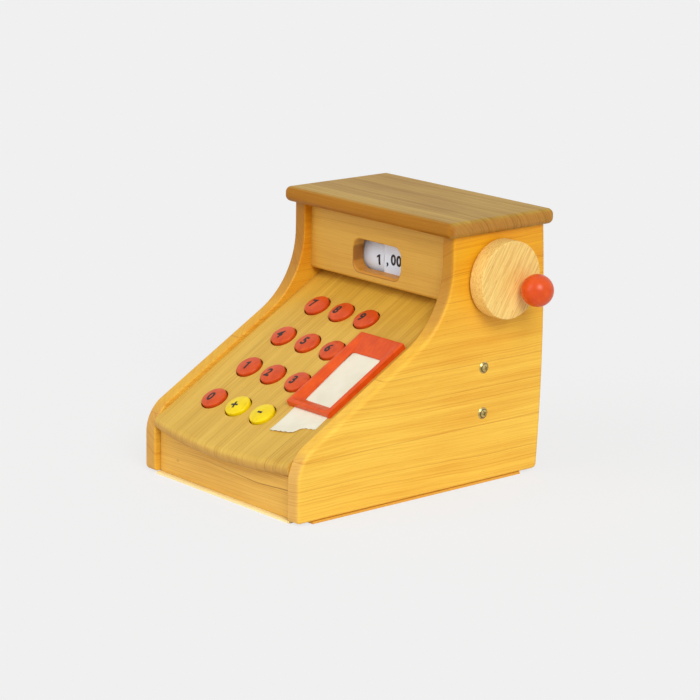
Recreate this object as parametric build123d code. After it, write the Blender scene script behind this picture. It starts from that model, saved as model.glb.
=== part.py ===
"""Wooden toy cash register with a crank, twelve keys, a paper roll and a drawer.

Millimetres. X runs to the right, the front faces -Y and Z is up. The origin lies on the underside of the
base plate, in the middle of the side panels' width and depth.
"""

import os
from math import cos, radians, sin, tan

from build123d import *

# ------------------------------------------------ driving sizes: the case
case_width = 186.0
case_depth = 240.0
side_thickness = 12.5
side_height = 194.2
tower_depth = 92.5
slope_angle = 30.0
slope_front_height = 46.7
tower_curve_radius = 70.0
nose_curve_radius = 30.0
side_foot_radius = 4.0
side_back_reach = 2.0
side_back_bow = 3.3
side_outer_round = 3.0
side_inner_round = 1.5

base_thickness = 1.8
base_inset = 0.8
base_front_setback = 2.0
base_panel_setback = 15.0
base_rear_setback = 15.5

lid_thickness = 12.0
lid_side_overhang = 4.8
lid_front_overhang = 7.7
lid_rear_overhang = 8.6
lid_corner_radius = 5.0
lid_edge_round = 4.8

window_panel_setback = 7.3
window_panel_thickness = 11.0
window_panel_foot = 141.5
window_panel_foot_round = 2.5
window_width = 55.4
window_height = 24.8
window_centre_height = 161.6
window_offset = -2.05
window_corner_radius = 8.0
window_edge_round = 1.5

back_thickness = 12.0
back_setback = 2.0

# ------------------------------------------------ driving sizes: the key board
board_thickness = 12.0
board_drop = 3.7
board_behind_window = 4.0
board_nose_reach = 9.6
board_bow = 7.4
board_nose_round = 5.9
board_side_gap = 0.15

key_diameter = 20.4
key_column_pitch = 29.2
key_column_count = 3
key_to_frame = 13.2
key_first_row = 36.1
key_row_pitch = 39.0
key_row_count = 4
key_cap_height = 7.0
key_proud = 3.4
key_dome = 1.1
key_rim_round = 1.0
key_dome_middle_share = 0.6
key_dome_middle_drop = 0.3
key_seat_gap = 1.0
key_seat_depth = 8.5
key_stem_diameter = 7.0
key_stem_gap = 0.25
key_stem_below = 6.0
key_washer_diameter = 13.0
key_washer_thickness = 1.0
key_washer_gap = 0.3
key_pad_diameter = 14.0
key_pad_gap = 0.5

frame_width = 48.0
frame_length = 85.0
frame_height = 5.2
frame_side_gap = 6.3
frame_foot = 52.2
frame_left_bar = 6.9
frame_right_bar = 5.0
frame_foot_bar = 8.8
frame_head_bar = 18.9
frame_opening_lean = 3.4
frame_rim = 3.0
frame_lip = 1.4
frame_opening_radius = 3.0
frame_outer_round = 1.3
frame_corner_round = 0.6
frame_paper_channel = 0.8

paper_width = 38.0
paper_thickness = 0.3
paper_side_gap = 0.5
paper_offset = 1.7
paper_slot_setback = 1.0
paper_bend_radius = 2.0
paper_tongue_end = 25.0
paper_slot_length = 3.5
paper_roll_diameter = 40.0
paper_roll_drop = 37.0
paper_core_diameter = 14.0
paper_gap = 0.1

spindle_diameter = 8.0
spindle_seat = 6.0
hanger_thickness = 6.0
hanger_width = 22.0
hanger_gap = 1.5
hanger_chin = 10.0
hanger_chin_round = 8.0

# ------------------------------------------------ driving sizes: the crank
axle_diameter = 8.0
axle_from_back = 46.7
axle_height = 159.0
axle_gap = 0.08
axle_left_seat = 8.0
bush_wall = 2.5
washer_thickness = 1.2
washer_diameter = 20.0
crank_gap = 1.5
crank_diameter = 60.0
crank_thickness = 14.0
crank_edge_round = 0.8
crank_axle_seat = 9.0
knob_diameter = 25.0
knob_reach = 15.8
knob_angle = -27.0
knob_neck = 1.0
peg_diameter = 8.0
peg_seat = 8.0
peg_length = 17.7

drum_radius = 26.2
drum_left = -35.6
drum_width = 29.0
drum_rim = 5.0
drum_web = 8.0
drum_hub_radius = 12.0
band_thickness = 0.3
band_gap = 0.05
card_gap_to_drum = 1.6
card_width = 38.0
card_height = 38.0
card_thickness = 0.5

cam_place = 34.0
cam_thickness = 6.0
cam_radius = 10.0
cam_lobe_reach = 20.0
cam_lobe_radius = 3.0
cam_lobe_angle = 60.0
collar_thickness = 6.0
collar_radius = 8.0
collar_gap = 0.5

bell_place = 45.0
bell_height = 120.0
bell_sphere_radius = 20.0
bell_depth = 13.0
bell_wall = 0.8
bell_gap_to_back = 2.0
bell_stud_diameter = 4.0
bell_stud_head = 9.0
bell_nut_thickness = 2.0
striker_gap = 1.0
striker_ball_radius = 4.0
striker_ball_rise = 12.0
striker_leaf_width = 8.0
striker_block_top = 188.0
striker_block_height = 12.0
leaf_thickness = 0.6

# ------------------------------------------------ driving sizes: inner boards
cross_board_from_back = 52.0
cross_board_thickness = 12.0
cross_board_foot = 42.0
cross_board_height = 62.0
screw_lower_height = 54.2
screw_pitch = 35.8
screw_count = 2
screw_head_diameter = 9.4
screw_head_height = 2.0
screw_shank_diameter = 3.6
screw_length = 30.0
screw_gap = 0.1
screw_recess_arm = 4.4
screw_recess_width = 0.9
screw_recess_depth = 1.1
right_screw_turn = 20.0
left_screw_turn = 65.0

stop_rail_gap = 0.6
stop_rail_depth = 8.0
cleat_width = 7.0
cleat_height = 8.0
kicker_side_gap = 0.6
kicker_height = 8.0
kicker_gap = 0.6

# ------------------------------------------------ driving sizes: the drawer
drawer_side_gap = 0.5
drawer_base_gap = 0.3
drawer_front_setback = 5.5
drawer_front_height = 28.4
drawer_front_thickness = 10.0
drawer_body_length = 152.0
drawer_wall = 7.0
drawer_bottom_thickness = 3.0
drawer_side_height = 22.0
drawer_divider_thickness = 4.0
drawer_divider_height = 18.0
note_bay_width = 66.0
coin_bays = 4
catch_width = 14.0
catch_thickness = 1.0
catch_height = 6.0
latch_leaf_width = 10.0
latch_gap = 0.8
latch_top = 144.0
latch_shelf_drop = 2.5
latch_hook_drop = 8.5
latch_screw_diameter = 3.0
latch_screw_head = 5.6
latch_screw_pitch = 14.0
latch_screw_length = 9.0

ejector_block_length = 12.0
ejector_block_width = 24.0
ejector_block_height = 26.0
ejector_leaf_radius = 11.0
ejector_leaf_width = 18.0
ejector_leaf_height = 13.5
touch_gap = 0.3
cut_overrun = 1.0
loft_overrun = 0.01

# ------------------------------------------------ worked-out sizes
half_width = case_width / 2
inner_half = half_width - side_thickness
front_y = -case_depth / 2
back_y = case_depth / 2
side_back_y = back_y + side_back_reach
side_foot = base_thickness
side_top = base_thickness + side_height
tower_front_y = back_y - tower_depth
slope = radians(slope_angle)
slope_rise = tan(slope)
slope_front_z = base_thickness + slope_front_height
knee_z = slope_front_z + (tower_front_y - front_y) * slope_rise

# The key board's own plane: x across, y up the slope, z away from its top face.
board_origin_z = slope_front_z - board_drop / cos(slope)
board_plane = Plane(
    origin=(0, front_y, board_origin_z),
    x_dir=(1, 0, 0),
    z_dir=(0, -sin(slope), cos(slope)),
)
board_half = inner_half - board_side_gap
board_nose = -board_nose_reach
frame_left = inner_half - frame_side_gap - frame_width
key_rows = [key_first_row + key_row_pitch * row for row in range(key_row_count)]
key_columns = [
    frame_left - key_to_frame - key_column_pitch * (key_column_count - 1 - column)
    for column in range(key_column_count)
]
key_labels = (
    ("0", "plus", "minus"),
    ("1", "2", "3"),
    ("4", "5", "6"),
    ("7", "8", "9"),
)
frame_head = frame_foot + frame_length
opening_foot = frame_foot + frame_foot_bar
opening_head = frame_head - frame_head_bar
paper_centre = frame_left + frame_width / 2 + paper_offset
slot_foot = opening_head + paper_slot_setback
slot_run = slot_foot + paper_slot_length / 2

window_front_y = tower_front_y + window_panel_setback
window_back_y = window_front_y + window_panel_thickness
window_foot_z = base_thickness + window_panel_foot
window_z = base_thickness + window_centre_height
board_head = (window_back_y + board_behind_window - front_y) / cos(slope)
back_inner_y = back_y - back_setback - back_thickness
axle_y = back_y - axle_from_back
axle_z = base_thickness + axle_height
crank_inner_x = half_width + crank_gap
crank_outer_x = crank_inner_x + crank_thickness
knob_radius = knob_diameter / 2
knob_y = axle_y + knob_reach * cos(radians(knob_angle))
knob_z = axle_z + knob_reach * sin(radians(knob_angle))
knob_x = crank_outer_x + knob_neck + knob_radius
cross_back_y = back_y - cross_board_from_back
cross_front_y = cross_back_y - cross_board_thickness
cross_foot_z = base_thickness + cross_board_foot
cross_top_z = cross_foot_z + cross_board_height
cross_mid_y = (cross_front_y + cross_back_y) / 2
screw_heights = [base_thickness + screw_lower_height + screw_pitch * step for step in range(screw_count)]

drawer_front_y = front_y + drawer_front_setback
drawer_body_y = drawer_front_y + drawer_front_thickness
drawer_back_y = drawer_body_y + drawer_body_length
drawer_foot_z = base_thickness + drawer_base_gap
drawer_floor_z = drawer_foot_z + drawer_bottom_thickness
drawer_half = inner_half - drawer_side_gap
drawer_top_z = drawer_foot_z + drawer_front_height
side_top_z = drawer_floor_z + drawer_side_height
divider_x = drawer_half - drawer_wall - note_bay_width - drawer_divider_thickness
catch_front_y = drawer_back_y - catch_thickness
hook_back_y = catch_front_y - latch_gap

pieces = {}


# ------------------------------------------------ small helpers
def block(low, high):
    """A box between two corners."""
    size = [top - bottom for bottom, top in zip(low, high)]
    middle = [(top + bottom) / 2 for bottom, top in zip(low, high)]
    return Pos(*middle) * Box(*size)


def rod_x(start, end, radius, y, z):
    """A round bar along X."""
    return Pos((start + end) / 2, y, z) * Rot(0, 90, 0) * Cylinder(radius, end - start)


def rod_y(start, end, radius, x, z):
    """A round bar along Y."""
    return Pos(x, (start + end) / 2, z) * Rot(90, 0, 0) * Cylinder(radius, end - start)


def on_board(x, along, above=0.0):
    """A place given across the key board, up its slope and above its top face."""
    return board_plane.location * Pos(x, along, above)


def vertex_near(shape, *place):
    """The vertex of a shape nearest to a place."""
    return shape.vertices().sort_by_distance(place)[0]


# ------------------------------------------------ side panels
def side_profile():
    """The panel's outline in (y, z): foot, rounded nose, slope, hollow curve, tower and bowed back edge."""
    corners = [
        (side_back_y, side_foot),
        (front_y, side_foot),
        (front_y, slope_front_z),
        (tower_front_y, knee_z),
        (tower_front_y, side_top),
        (side_back_y, side_top),
    ]
    bulge = (side_back_y + side_back_bow, (side_foot + side_top) / 2)
    face = make_face(Polyline(*corners) + ThreePointArc(corners[-1], bulge, corners[0]))
    face = fillet(vertex_near(face, front_y, slope_front_z), nose_curve_radius)
    face = fillet(vertex_near(face, tower_front_y, knee_z), tower_curve_radius)
    face = fillet(vertex_near(face, front_y, side_foot), side_foot_radius)
    return fillet(vertex_near(face, side_back_y, side_foot), side_foot_radius)


def rounded_side(outer_x, inner_x):
    """A side panel between its outer and inner faces, its edges eased by hand."""
    low = min(outer_x, inner_x)
    panel = Plane.YZ.offset(low) * side_profile()
    panel = extrude(panel, side_thickness, dir=(1, 0, 0))
    outer = panel.edges().filter_by(lambda edge: abs(edge.center().X - outer_x) < side_thickness / 4)
    panel = fillet(outer.filter_by(lambda edge: edge.center().Z < side_top - cut_overrun), side_outer_round)
    inner = panel.edges().filter_by(lambda edge: abs(edge.center().X - inner_x) < side_thickness / 4)
    show = inner.filter_by(lambda edge: edge.center().Z < side_top - cut_overrun)
    return fillet(show.filter_by(lambda edge: edge.center().Z > side_foot + cut_overrun), side_inner_round)


bush_radius = axle_diameter / 2 + axle_gap + bush_wall
spindle_along = slot_run + paper_thickness / 2 + paper_roll_diameter / 2
spindle_centre = on_board(0, spindle_along, -paper_roll_drop).position
screw_bores = [
    rod_x(
        -half_width - cut_overrun,
        half_width + cut_overrun,
        screw_shank_diameter / 2 + screw_gap,
        cross_mid_y,
        height,
    )
    for height in screw_heights
]

right_panel = rounded_side(half_width, inner_half)
right_panel -= rod_x(inner_half - cut_overrun, half_width + cut_overrun, bush_radius, axle_y, axle_z)
right_panel -= rod_x(
    inner_half - cut_overrun,
    inner_half + spindle_seat,
    spindle_diameter / 2 + axle_gap,
    spindle_centre.Y,
    spindle_centre.Z,
)
left_panel = rounded_side(-half_width, -inner_half)
left_panel -= rod_x(-inner_half - axle_left_seat, -inner_half + cut_overrun, bush_radius, axle_y, axle_z)
for bore in screw_bores:
    right_panel -= bore
    left_panel -= bore
pieces["side_panel_right"] = right_panel
pieces["side_panel_left"] = left_panel

# ------------------------------------------------ base plate and back
base_tongue = block(
    (-inner_half, front_y + base_front_setback, 0),
    (inner_half, front_y + base_panel_setback, base_thickness),
)
pieces["base_plate"] = base_tongue + block(
    (-half_width + base_inset, front_y + base_panel_setback, 0),
    (half_width - base_inset, back_y - base_rear_setback, base_thickness),
)
pieces["back_panel"] = block(
    (-inner_half, back_inner_y, side_foot),
    (inner_half, back_inner_y + back_thickness, side_top),
) - rod_y(
    back_inner_y - cut_overrun,
    back_inner_y + back_thickness / 2,
    bell_stud_diameter / 2,
    bell_place,
    bell_height,
)

# ------------------------------------------------ top board
lid_half = half_width + lid_side_overhang
lid = block(
    (-lid_half, tower_front_y - lid_front_overhang, side_top),
    (lid_half, back_y + lid_rear_overhang, side_top + lid_thickness),
)
lid = fillet(lid.edges().filter_by(Axis.Z), lid_corner_radius)
lid_rims = lid.edges().group_by(Axis.Z)[0] + lid.edges().group_by(Axis.Z)[-1]
pieces["top_board"] = fillet(lid_rims, lid_edge_round)

# ------------------------------------------------ window panel with its round-cornered window
window_panel = block(
    (-inner_half, window_front_y, window_foot_z),
    (inner_half, window_back_y, side_top),
)
window_hole = extrude(
    Plane.XZ.offset(-window_back_y - cut_overrun)
    * Pos(window_offset, window_z)
    * RectangleRounded(window_width, window_height, window_corner_radius),
    window_panel_thickness + 2 * cut_overrun,
)
window_panel -= window_hole
window_rim = window_panel.faces().sort_by(Axis.Y)[0].inner_wires()[0].edges()
window_panel = fillet(window_rim, window_edge_round)
foot_edge = window_panel.edges().filter_by(Axis.X).filter_by(
    lambda edge: edge.length > case_width / 2 and edge.center().Z < window_foot_z + cut_overrun
).sort_by(Axis.Y)[0]
pieces["window_panel"] = fillet(foot_edge, window_panel_foot_round)

# ------------------------------------------------ key board: bowed nose, stepped key seats, paper slot
board_outline = make_face(
    Polyline(
        (-board_half, board_nose + board_bow),
        (-board_half, board_head),
        (board_half, board_head),
        (board_half, board_nose + board_bow),
    )
    + ThreePointArc(
        (-board_half, board_nose + board_bow), (0, board_nose), (board_half, board_nose + board_bow)
    )
)
flat_board = extrude(board_outline, -board_thickness)
nose_edges = flat_board.edges().filter_by(GeomType.CIRCLE)
flat_board = fillet(nose_edges, board_nose_round)
key_seat_radius = key_diameter / 2 + key_seat_gap
stem_radius = key_stem_diameter / 2
for along in key_rows:
    for x in key_columns:
        seat = Pos(x, along, -key_seat_depth / 2) * Cylinder(key_seat_radius, key_seat_depth)
        stem_bore = Pos(x, along, -board_thickness / 2) * Cylinder(
            stem_radius + key_stem_gap, board_thickness + 2 * cut_overrun
        )
        flat_board -= seat + stem_bore
slot_half = paper_width / 2 + paper_side_gap
flat_board -= block(
    (paper_centre - slot_half, slot_foot, -board_thickness - cut_overrun),
    (paper_centre + slot_half, slot_foot + paper_slot_length, cut_overrun),
)
pieces["key_board"] = board_plane.location * flat_board

# ------------------------------------------------ receipt frame: bevelled like a picture frame
frame_middle = (frame_left + frame_width / 2, (frame_foot + frame_head) / 2)
frame_solid = extrude(Pos(*frame_middle) * Rectangle(frame_width, frame_length), frame_height)
frame_solid = fillet(frame_solid.edges().filter_by(Axis.Z), frame_corner_round)
frame_solid = fillet(frame_solid.edges().group_by(Axis.Z)[-1], frame_outer_round)
frame_right = frame_left + frame_width
opening_line = Polyline(
    (frame_left + frame_left_bar + frame_opening_lean, opening_foot),
    (frame_right - frame_right_bar, opening_foot),
    (frame_right - frame_right_bar - frame_opening_lean, opening_head),
    (frame_left + frame_left_bar, opening_head),
    close=True,
)
opening_sketch = fillet(make_face(opening_line).vertices(), frame_opening_radius)
rim_line = Pos(*frame_middle) * Rectangle(frame_width - 2 * frame_rim, frame_length - 2 * frame_rim)
rim_sketch = fillet(rim_line.vertices(), frame_opening_radius)
bevel = loft([Pos(0, 0, frame_lip) * opening_sketch, Pos(0, 0, frame_height + loft_overrun) * rim_sketch])
frame_solid -= bevel
frame_solid -= extrude(opening_sketch, frame_height)
frame_solid -= block(
    (paper_centre - slot_half, frame_foot - cut_overrun, 0),
    (paper_centre + slot_half, slot_foot + paper_slot_length, frame_paper_channel),
)
pieces["receipt_frame"] = board_plane.location * frame_solid

# ------------------------------------------------ paper: roll, spindle, hanger and the strip under the frame
paper_left = paper_centre - paper_width / 2
strip_line = FilletPolyline(
    (paper_tongue_end, paper_gap + paper_thickness / 2),
    (slot_run, paper_gap + paper_thickness / 2),
    (slot_run, -paper_roll_drop),
    radius=paper_bend_radius,
)
strip_line = Plane.YZ.offset(paper_left) * strip_line
strip_section = Plane(strip_line @ 0, x_dir=(1, 0, 0), z_dir=strip_line % 0) * Rectangle(
    paper_width, paper_thickness, align=(Align.MIN, Align.CENTER)
)
pieces["paper_strip"] = board_plane.location * sweep(strip_section, path=strip_line)

roll = rod_x(
    paper_left,
    paper_left + paper_width,
    paper_roll_diameter / 2 - paper_gap,
    spindle_centre.Y,
    spindle_centre.Z,
)
roll -= rod_x(
    paper_left - cut_overrun,
    paper_left + paper_width + cut_overrun,
    paper_core_diameter / 2,
    spindle_centre.Y,
    spindle_centre.Z,
)
pieces["paper_roll"] = roll
hanger_right = paper_left - hanger_gap
pieces["roll_spindle"] = rod_x(
    hanger_right - hanger_thickness,
    inner_half + spindle_seat,
    spindle_diameter / 2,
    spindle_centre.Y,
    spindle_centre.Z,
) + rod_x(
    paper_left,
    paper_left + paper_width,
    paper_core_diameter / 2 - paper_gap,
    spindle_centre.Y,
    spindle_centre.Z,
)
hanger = block(
    (hanger_right - hanger_thickness, spindle_along - hanger_width / 2, -paper_roll_drop - hanger_chin),
    (hanger_right, spindle_along + hanger_width / 2, -board_thickness),
)
hanger = fillet(hanger.edges().filter_by(Axis.X).group_by(Axis.Z)[0], hanger_chin_round)
hanger = board_plane.location * hanger
pieces["roll_hanger"] = hanger - rod_x(
    hanger_right - hanger_thickness - cut_overrun,
    hanger_right + cut_overrun,
    spindle_diameter / 2 + axle_gap,
    spindle_centre.Y,
    spindle_centre.Z,
)

# ------------------------------------------------ keys: turned button with stem, and its stop washer
cap_radius = key_diameter / 2
cap_under = key_proud - key_cap_height
stem_end = -board_thickness - key_stem_below
washer_top = -board_thickness - key_washer_gap


def key_profile():
    """Half section of a key about its axis: domed cap with a rounded rim, then the stem."""
    shoulder = key_proud - key_dome
    dome_middle = (cap_radius * key_dome_middle_share, key_proud - key_dome * key_dome_middle_drop)
    outline = make_face(
        Polyline(
            (cap_radius, shoulder),
            (cap_radius, cap_under),
            (stem_radius, cap_under),
            (stem_radius, stem_end),
            (0, stem_end),
            (0, key_proud),
        )
        + ThreePointArc((0, key_proud), dome_middle, (cap_radius, shoulder))
    )
    return fillet(vertex_near(outline, cap_radius, shoulder), key_rim_round)


key_turning = revolve(Plane.XZ * key_profile(), Axis.Z)
below_place = (Align.CENTER, Align.CENTER, Align.MAX)
washer_ring = Cylinder(key_washer_diameter / 2, key_washer_thickness, align=below_place)
washer_ring -= Cylinder(stem_radius, key_washer_thickness, align=below_place)
for along, labels in zip(key_rows, key_labels):
    for x, label in zip(key_columns, labels):
        seat = on_board(x, along)
        pieces[f"key_{label}"] = Compound([seat * key_turning, seat * Pos(0, 0, washer_top) * washer_ring])

# ------------------------------------------------ soft rings that push the keys back up, in the seats
pad_room = cap_under + key_seat_depth
pad_place = (Align.CENTER, Align.CENTER, Align.MIN)
key_pad = Cylinder(key_pad_diameter / 2, pad_room, align=pad_place)
key_pad -= Cylinder(stem_radius + key_pad_gap, pad_room, align=pad_place)
pieces["key_pads"] = Compound(
    [on_board(x, along, -key_seat_depth) * key_pad for along in key_rows for x in key_columns]
)

# ------------------------------------------------ crank: axle, bushes, disc, peg and ball
pieces["crank_axle"] = rod_x(
    -inner_half - axle_left_seat + touch_gap,
    crank_inner_x + crank_axle_seat,
    axle_diameter / 2,
    axle_y,
    axle_z,
)
for side, start, end in (
    ("right", inner_half, half_width),
    ("left", -inner_half - axle_left_seat, -inner_half),
):
    bush = rod_x(start, end, bush_radius, axle_y, axle_z)
    pieces[f"axle_bush_{side}"] = bush - rod_x(start, end, axle_diameter / 2 + axle_gap, axle_y, axle_z)
washer = rod_x(half_width, half_width + washer_thickness, washer_diameter / 2, axle_y, axle_z)
pieces["crank_washer"] = washer - rod_x(
    half_width, half_width + washer_thickness, axle_diameter / 2 + axle_gap, axle_y, axle_z
)
disc = rod_x(crank_inner_x, crank_outer_x, crank_diameter / 2, axle_y, axle_z)
disc = fillet(disc.edges(), crank_edge_round)
disc -= rod_x(crank_inner_x - cut_overrun, crank_inner_x + crank_axle_seat, axle_diameter / 2, axle_y, axle_z)
disc -= rod_x(crank_outer_x - peg_seat, crank_outer_x + cut_overrun, peg_diameter / 2, knob_y, knob_z)
pieces["crank_disc"] = disc
peg_end = crank_outer_x + peg_length
pieces["knob_peg"] = rod_x(crank_outer_x - peg_seat, peg_end, peg_diameter / 2, knob_y, knob_z)
ball = Pos(knob_x, knob_y, knob_z) * Sphere(knob_radius)
pieces["crank_knob"] = ball - rod_x(crank_outer_x, peg_end, peg_diameter / 2, knob_y, knob_z)

# ------------------------------------------------ number drum, its paper band and the fixed price card
drum_right = drum_left + drum_width
drum_half_section = make_face(
    Polyline(
        (drum_left, axle_diameter / 2),
        (drum_right, axle_diameter / 2),
        (drum_right, drum_hub_radius),
        (drum_right - (drum_width - drum_web) / 2, drum_hub_radius),
        (drum_right - (drum_width - drum_web) / 2, drum_radius - drum_rim),
        (drum_right, drum_radius - drum_rim),
        (drum_right, drum_radius),
        (drum_left, drum_radius),
        (drum_left, drum_radius - drum_rim),
        (drum_left + (drum_width - drum_web) / 2, drum_radius - drum_rim),
        (drum_left + (drum_width - drum_web) / 2, drum_hub_radius),
        (drum_left, drum_hub_radius),
        close=True,
    )
)
pieces["number_drum"] = Pos(0, axle_y, axle_z) * revolve(Plane.XZ * drum_half_section, Axis.X)
band = rod_x(drum_left, drum_right, drum_radius + band_thickness, axle_y, axle_z)
pieces["number_band"] = band - rod_x(drum_left, drum_right, drum_radius + band_gap, axle_y, axle_z)
card_left = drum_right + card_gap_to_drum
pieces["price_card"] = block(
    (card_left, window_back_y, window_z - card_height / 2),
    (card_left + card_width, window_back_y + card_thickness, window_z + card_height / 2),
)

# ------------------------------------------------ trip cam and axle collar
cam_lobe = cam_lobe_reach - cam_lobe_radius
cam_outline = make_hull(Circle(cam_radius).edges() + (Pos(cam_lobe, 0) * Circle(cam_lobe_radius)).edges())
cam_face = Pos(axle_y, axle_z) * Rot(0, 0, cam_lobe_angle) * (cam_outline - Circle(axle_diameter / 2))
pieces["trip_cam"] = extrude(
    Plane.YZ.offset(cam_place - cam_thickness / 2) * cam_face, cam_thickness, dir=(1, 0, 0)
)
collar = rod_x(
    -inner_half + collar_gap, -inner_half + collar_gap + collar_thickness, collar_radius, axle_y, axle_z
)
pieces["axle_collar"] = collar - rod_x(
    -inner_half, -inner_half + collar_gap + collar_thickness + cut_overrun, axle_diameter / 2, axle_y, axle_z
)

# ------------------------------------------------ bell with its stud, and the striker leaf
gong_rim_y = back_inner_y - bell_gap_to_back
gong_centre_y = gong_rim_y - bell_depth + bell_sphere_radius
gong_apex_y = gong_centre_y - bell_sphere_radius
gong_hollow_radius = bell_sphere_radius - bell_wall
gong_shell = Sphere(bell_sphere_radius) - Sphere(gong_hollow_radius)
gong = Pos(bell_place, gong_centre_y, bell_height) * gong_shell
gong = split(gong, Plane.XZ.offset(-gong_rim_y), keep=Keep.TOP)
gong_bore_radius = bell_stud_diameter / 2 + screw_gap
gong -= rod_y(gong_apex_y - cut_overrun, gong_rim_y, gong_bore_radius, bell_place, bell_height)
pieces["bell_gong"] = gong
stud = rod_y(
    gong_apex_y - bell_nut_thickness,
    back_inner_y + back_thickness / 2,
    bell_stud_diameter / 2,
    bell_place,
    bell_height,
)
stud += rod_y(gong_apex_y - bell_nut_thickness, gong_apex_y, bell_stud_head / 2, bell_place, bell_height)
shoulder_rise = gong_hollow_radius - (gong_hollow_radius**2 - (bell_stud_head / 2) ** 2) ** 0.5
shoulder_y = gong_apex_y + bell_wall + shoulder_rise + screw_gap
stud += rod_y(shoulder_y, back_inner_y, bell_stud_head / 2, bell_place, bell_height)
pieces["bell_stud"] = stud

ball_reach = bell_sphere_radius + striker_gap + striker_ball_radius
striker_ball_y = gong_centre_y - (ball_reach**2 - striker_ball_rise**2) ** 0.5
striker_ball_z = bell_height + striker_ball_rise
striker_x = cam_place
striker_block_foot = striker_block_top - striker_block_height
pieces["striker_block"] = block(
    (striker_x - striker_leaf_width, striker_ball_y, striker_block_foot),
    (striker_x + striker_leaf_width, back_inner_y, striker_block_top),
)
leaf = block(
    (striker_x - striker_leaf_width / 2, striker_ball_y - leaf_thickness, striker_ball_z),
    (striker_x + striker_leaf_width / 2, striker_ball_y, striker_block_top),
)
leaf += Pos(striker_x, striker_ball_y - leaf_thickness / 2, striker_ball_z) * Sphere(striker_ball_radius)
pieces["striker_leaf"] = leaf

# ------------------------------------------------ cross board with its four side screws
cross_board = block((-inner_half, cross_front_y, cross_foot_z), (inner_half, cross_back_y, cross_top_z))
for bore in screw_bores:
    cross_board -= bore
latch_screw_heights = [cross_foot_z + latch_screw_pitch * (step + 1) for step in range(screw_count)]
latch_bores = [
    rod_y(
        cross_back_y - latch_screw_length,
        cross_back_y + cut_overrun,
        latch_screw_diameter / 2 + screw_gap,
        cam_place,
        height,
    )
    for height in latch_screw_heights
]
for bore in latch_bores:
    cross_board -= bore
pieces["cross_board"] = cross_board


def dome_screw():
    """A domed cross-recess screw along Z: its head above 0, its plain shank below."""
    radius = screw_head_diameter / 2
    sphere_radius = (radius**2 + screw_head_height**2) / (2 * screw_head_height)
    dome = Pos(0, 0, screw_head_height - sphere_radius) * Sphere(sphere_radius)
    head = dome & Cylinder(radius, screw_head_height, align=(Align.CENTER, Align.CENTER, Align.MIN))
    recess = Rectangle(screw_recess_arm, screw_recess_width) + Rectangle(screw_recess_width, screw_recess_arm)
    recess_foot = Pos(0, 0, screw_head_height - screw_recess_depth)
    head -= extrude(recess_foot * recess, screw_recess_depth + cut_overrun)
    shank = Cylinder(screw_shank_diameter / 2, screw_length, align=below_place)
    return head + shank


side_screw = dome_screw()
pieces["side_screws"] = Compound(
    [
        Pos(side * half_width, cross_mid_y, height) * Rot(0, 90 * side, 0) * Rot(0, 0, turn) * side_screw
        for side, turn in ((1, right_screw_turn), (-1, left_screw_turn))
        for height in screw_heights
    ]
)

# ------------------------------------------------ latch leaf: from beside the cam down to the drawer's catch
shelf_z = cross_foot_z - latch_shelf_drop
leaf_left = cam_place - latch_leaf_width / 2
latch_line = [
    (cross_back_y, latch_top),
    (cross_back_y, shelf_z),
    (hook_back_y - leaf_thickness, shelf_z),
    (hook_back_y - leaf_thickness, shelf_z - latch_hook_drop),
    (hook_back_y, shelf_z - latch_hook_drop),
    (hook_back_y, shelf_z - leaf_thickness),
    (cross_back_y + leaf_thickness, shelf_z - leaf_thickness),
    (cross_back_y + leaf_thickness, latch_top),
]
latch_leaf = extrude(
    Plane.YZ.offset(leaf_left) * make_face(Polyline(*latch_line, close=True)), latch_leaf_width, dir=(1, 0, 0)
)
for height in latch_screw_heights:
    latch_leaf -= rod_y(
        cross_back_y - cut_overrun,
        cross_back_y + leaf_thickness + cut_overrun,
        latch_screw_diameter / 2 + screw_gap,
        cam_place,
        height,
    )
pieces["latch_leaf"] = latch_leaf
latch_screws = []
for height in latch_screw_heights:
    shank = rod_y(
        cross_back_y - latch_screw_length + touch_gap,
        cross_back_y + leaf_thickness,
        latch_screw_diameter / 2,
        cam_place,
        height,
    )
    head = rod_y(
        cross_back_y + leaf_thickness,
        cross_back_y + leaf_thickness + screw_head_height,
        latch_screw_head / 2,
        cam_place,
        height,
    )
    latch_screws.append(shank + head)
pieces["latch_screws"] = Compound(latch_screws)

# ------------------------------------------------ stop rail, cleats and kickers on the side panels
kicker_width = drawer_side_gap + drawer_wall - kicker_side_gap
rail_front_y = drawer_body_y + stop_rail_gap
rail_back_y = rail_front_y + stop_rail_depth
rail_foot_z = side_top_z + kicker_gap
board_under_z = board_origin_z - board_thickness / cos(slope)


def board_underside(y):
    """Height of the key board's underside above a place in the depth."""
    return board_under_z + (y - front_y) * slope_rise


rail_section = Polyline(
    (rail_front_y, rail_foot_z),
    (rail_back_y, rail_foot_z),
    (rail_back_y, board_underside(rail_back_y)),
    (rail_front_y, board_underside(rail_front_y)),
    close=True,
)
pieces["drawer_stop_rail"] = extrude(
    Plane.YZ.offset(-inner_half) * make_face(rail_section), case_width - 2 * side_thickness, dir=(1, 0, 0)
)
cleat_foot = (rail_back_y - front_y - board_thickness * sin(slope)) / cos(slope)
cleat_head = board_head - board_thickness
cleats = []
kickers = []
for sign in (-1, 1):
    low_x, high_x = sorted((sign * inner_half, sign * (inner_half - cleat_width)))
    cleat = block(
        (low_x, cleat_foot, -board_thickness - cleat_height), (high_x, cleat_head, -board_thickness)
    )
    cleats.append(board_plane.location * cleat)
    low_x, high_x = sorted((sign * inner_half, sign * (inner_half - kicker_width)))
    kicker = block((low_x, rail_back_y, rail_foot_z), (high_x, cross_back_y, rail_foot_z + kicker_height))
    kickers.append(kicker)
pieces["board_cleats"] = Compound(cleats)
pieces["drawer_kickers"] = Compound(kickers)

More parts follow.
